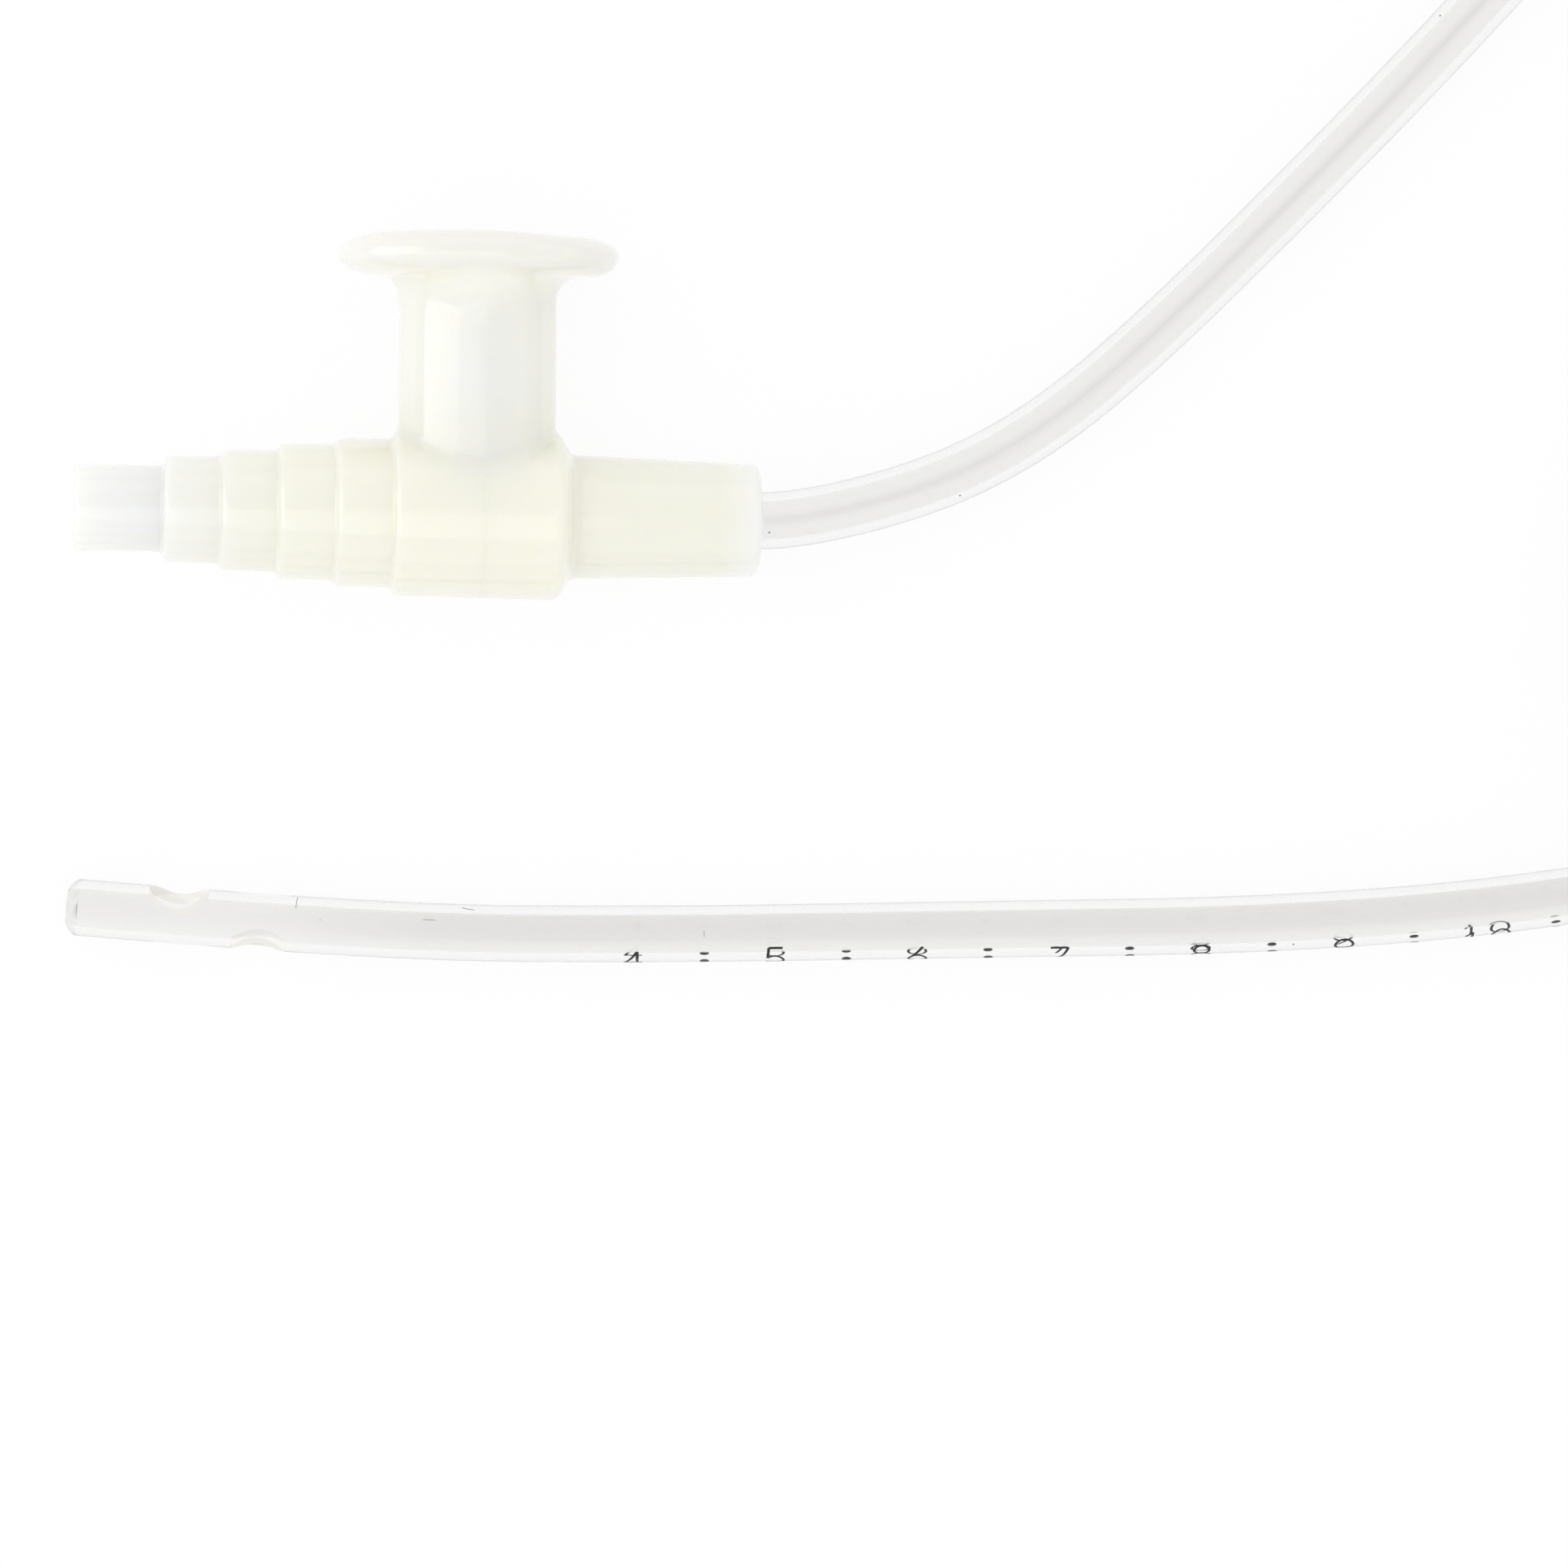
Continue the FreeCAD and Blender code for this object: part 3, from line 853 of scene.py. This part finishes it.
def connector_plastic():
    """Translucent cream plastic, paler where it is thin and where painted light lifts the stem and
    the shade under the plate, and greyer in the plate.
    """
    material, nodes, links = new_material("connector_plastic")
    shader = nodes["Principled BSDF"]
    # Paler tone where the wall is thin, and as painted light in the stem and under the plate's top.
    thin = nodes.new("ShaderNodeAttribute")
    thin.attribute_name = "thin_wall"
    tone = nodes.new("ShaderNodeMix")
    tone.data_type = "RGBA"
    tone.inputs["A"].default_value = (0.874, 0.856, 0.740, 1)
    tone.inputs["B"].default_value = (0.905, 0.900, 0.832, 1)
    links.new(thin.outputs["Fac"], tone.inputs["Factor"])
    top = nodes.new("ShaderNodeAttribute")
    top.attribute_name = "in_plate"
    plate_tone = nodes.new("ShaderNodeMix")
    plate_tone.data_type = "RGBA"
    plate_tone.inputs["B"].default_value = (0.790, 0.785, 0.755, 1)
    links.new(top.outputs["Fac"], plate_tone.inputs["Factor"])
    links.new(tone.outputs["Result"], plate_tone.inputs["A"])
    links.new(plate_tone.outputs["Result"], shader.inputs["Base Color"])
    shader.inputs["Roughness"].default_value = 0.08
    shader.inputs["IOR"].default_value = 1.6
    shader.inputs["Coat Weight"].default_value = 1.0
    shader.inputs["Coat Roughness"].default_value = 0.04
    shader.inputs["Coat IOR"].default_value = 1.8
    shader.inputs["Subsurface Weight"].default_value = 0.6
    shader.inputs["Subsurface Radius"].default_value = (0.004, 0.0035, 0.002)
    shader.inputs["Subsurface Scale"].default_value = 1.0
    return material


def clear_tube():
    """Clear tubing with a satin skin and painted shade on the lumen."""
    material, nodes, links = new_material("clear_tube")
    shader = nodes["Principled BSDF"]
    # The lumen's greyer tone, mixed in by its attribute, is painted shade.
    inside = nodes.new("ShaderNodeAttribute")
    inside.attribute_name = "lumen"
    tone = nodes.new("ShaderNodeMix")
    tone.data_type = "RGBA"
    tone.inputs["A"].default_value = (0.955, 0.953, 0.95, 1)
    tone.inputs["B"].default_value = (0.83, 0.822, 0.81, 1)
    links.new(inside.outputs["Fac"], tone.inputs["Factor"])
    links.new(tone.outputs["Result"], shader.inputs["Base Color"])
    shader.inputs["Roughness"].default_value = 0.08
    shader.inputs["IOR"].default_value = 1.53
    shader.inputs["Transmission Weight"].default_value = 1.0
    return material


def cut_face():
    """The tube's plastic where it is cut: cream frost outside, clear for light from within."""
    material, nodes, links = new_material("cut_face")
    nodes.remove(nodes["Principled BSDF"])
    frost = nodes.new("ShaderNodeBsdfDiffuse")
    frost.inputs["Color"].default_value = (0.975, 0.967, 0.925, 1)
    clear = nodes.new("ShaderNodeBsdfTransparent")
    clear.inputs["Color"].default_value = (0.975, 0.965, 0.925, 1)
    side = nodes.new("ShaderNodeNewGeometry")
    mix = nodes.new("ShaderNodeMixShader")
    links.new(side.outputs["Backfacing"], mix.inputs[0])
    links.new(frost.outputs[0], mix.inputs[1])
    links.new(clear.outputs[0], mix.inputs[2])
    links.new(mix.outputs[0], nodes["Material Output"].inputs["Surface"])
    return material


def witness_plastic():
    """The cream plastic on the mould's fine ridge."""
    material, nodes, links = new_material("witness_plastic")
    shader = nodes["Principled BSDF"]
    shader.inputs["Base Color"].default_value = (0.925, 0.912, 0.81, 1)
    shader.inputs["Roughness"].default_value = 0.3
    return material


def depth_ink():
    """Black marking ink."""
    material, nodes, links = new_material("depth_ink")
    shader = nodes["Principled BSDF"]
    shader.inputs["Base Color"].default_value = (0.006, 0.006, 0.007, 1)
    shader.inputs["Roughness"].default_value = 0.5
    return material


def speck_grey():
    """Grey of fine scratches and specks."""
    material, nodes, links = new_material("speck_grey")
    shader = nodes["Principled BSDF"]
    shader.inputs["Base Color"].default_value = (0.30, 0.29, 0.27, 1)
    shader.inputs["Roughness"].default_value = 0.6
    return material


def floor_white():
    """White floor that shows as plain white to the camera and keeps a soft shadow."""
    material, nodes, links = new_material("floor_white")
    nodes.remove(nodes["Principled BSDF"])
    diffuse = nodes.new("ShaderNodeBsdfDiffuse")
    diffuse.inputs["Color"].default_value = (FLOOR_LEVEL, FLOOR_LEVEL, FLOOR_LEVEL, 1)
    glow = nodes.new("ShaderNodeEmission")
    glow.inputs["Strength"].default_value = 1.0
    path = nodes.new("ShaderNodeLightPath")
    seen = nodes.new("ShaderNodeMath")
    seen.operation = "MAXIMUM"
    links.new(path.outputs["Is Camera Ray"], seen.inputs[0])
    links.new(path.outputs["Is Transmission Ray"], seen.inputs[1])
    seen_too = nodes.new("ShaderNodeMath")
    seen_too.operation = "MAXIMUM"
    links.new(seen.outputs[0], seen_too.inputs[0])
    links.new(path.outputs["Is Glossy Ray"], seen_too.inputs[1])
    share = nodes.new("ShaderNodeMath")
    share.operation = "MULTIPLY"
    share.inputs[1].default_value = FLOOR_GLOW
    links.new(seen_too.outputs[0], share.inputs[0])
    mix = nodes.new("ShaderNodeMixShader")
    links.new(share.outputs[0], mix.inputs[0])
    links.new(diffuse.outputs[0], mix.inputs[1])
    links.new(glow.outputs[0], mix.inputs[2])
    links.new(mix.outputs[0], nodes["Material Output"].inputs["Surface"])
    return material


def make_floor():
    """A plain white floor."""
    half = FLOOR_HALF
    corners = [(-half, -half, 0), (half, -half, 0), (half, half, 0), (-half, half, 0)]
    floor = mesh_object("floor", corners, [(0, 1, 2, 3)])
    floor.data.materials.append(floor_white())


def area_light(name, place, size, power):
    """A square soft box that faces the object."""
    light = bpy.data.lights.new(name, "AREA")
    light.shape = "RECTANGLE"
    light.size = size
    light.size_y = size
    light.energy = power
    obj = bpy.data.objects.new(name, light)
    obj.location = place
    toward = Vector(LIGHT_TARGET) - Vector(place)
    obj.rotation_euler = toward.to_track_quat("-Z", "Y").to_euler()
    scene.collection.objects.link(obj)


def make_lights():
    """Even white surroundings and two soft boxes."""
    world = bpy.data.worlds.new("studio")
    world.use_nodes = True
    nodes, links = world.node_tree.nodes, world.node_tree.links
    place = nodes.new("ShaderNodeTexCoord")
    split = nodes.new("ShaderNodeSeparateXYZ")
    links.new(place.outputs["Generated"], split.inputs[0])
    level = nodes.new("ShaderNodeMapRange")
    level.inputs["To Min"].default_value = HORIZON_LEVEL
    level.inputs["To Max"].default_value = ZENITH_LEVEL
    links.new(split.outputs["Z"], level.inputs["Value"])
    band = nodes.new("ShaderNodeMapRange")
    band.inputs["From Min"].default_value = BAND_TOP - BAND_BLUR
    band.inputs["From Max"].default_value = BAND_TOP + BAND_BLUR
    band.inputs["To Min"].default_value = BAND_LEVEL
    band.inputs["To Max"].default_value = 1.0
    links.new(split.outputs["Z"], band.inputs["Value"])
    path = nodes.new("ShaderNodeLightPath")
    reflected = nodes.new("ShaderNodeMix")
    reflected.inputs["A"].default_value = 1.0
    links.new(path.outputs["Is Glossy Ray"], reflected.inputs["Factor"])
    links.new(band.outputs["Result"], reflected.inputs["B"])
    strength = nodes.new("ShaderNodeMath")
    strength.operation = "MULTIPLY"
    links.new(level.outputs["Result"], strength.inputs[0])
    links.new(reflected.outputs["Result"], strength.inputs[1])
    links.new(strength.outputs[0], nodes["Background"].inputs["Strength"])
    nodes["Background"].inputs["Color"].default_value = (1, 1, 1, 1)
    scene.world = world
    for box in SOFT_BOXES:
        area_light(*box)


def make_camera():
    """The photograph's view, straight down."""
    camera = bpy.data.cameras.new("camera")
    camera.lens = CAMERA_LENS
    camera.sensor_width = SENSOR
    camera.clip_start = 0.01
    obj = bpy.data.objects.new("camera", camera)
    obj.location = CAMERA_PLACE
    scene.collection.objects.link(obj)
    scene.camera = obj


scene.view_settings.view_transform = "Standard"

connector = make_connector()
connector.data.materials.append(connector_plastic())
finish_piece(connector, replaced=["control_connector"])
witness = make_parting_line()
smooth(witness)
witness.data.materials.append(witness_plastic())
finish_piece(witness)

line = evenly(route_line(), TUBE_STEP)
tip_back = (line[-1] - line[-2]) / np.linalg.norm(line[-1] - line[-2]) * TIP_ROUNDING
straight_part = np.concatenate([line[:-1], [line[-1] - tip_back]])
tube = make_tube(straight_part)
cut_eyes(tube, straight_part)
mark_lumen(tube, line)
shade_by_angle(tube, 35)
finish_piece(tube, replaced=["catheter_tube"])
marks = make_depth_marks(TubeSkin(line))
marks.data.materials.append(depth_ink())
finish_piece(marks)
specks = make_specks(TubeSkin(line))
specks.data.materials.append(speck_grey())
finish_piece(specks)

make_floor()
make_lights()
make_camera()
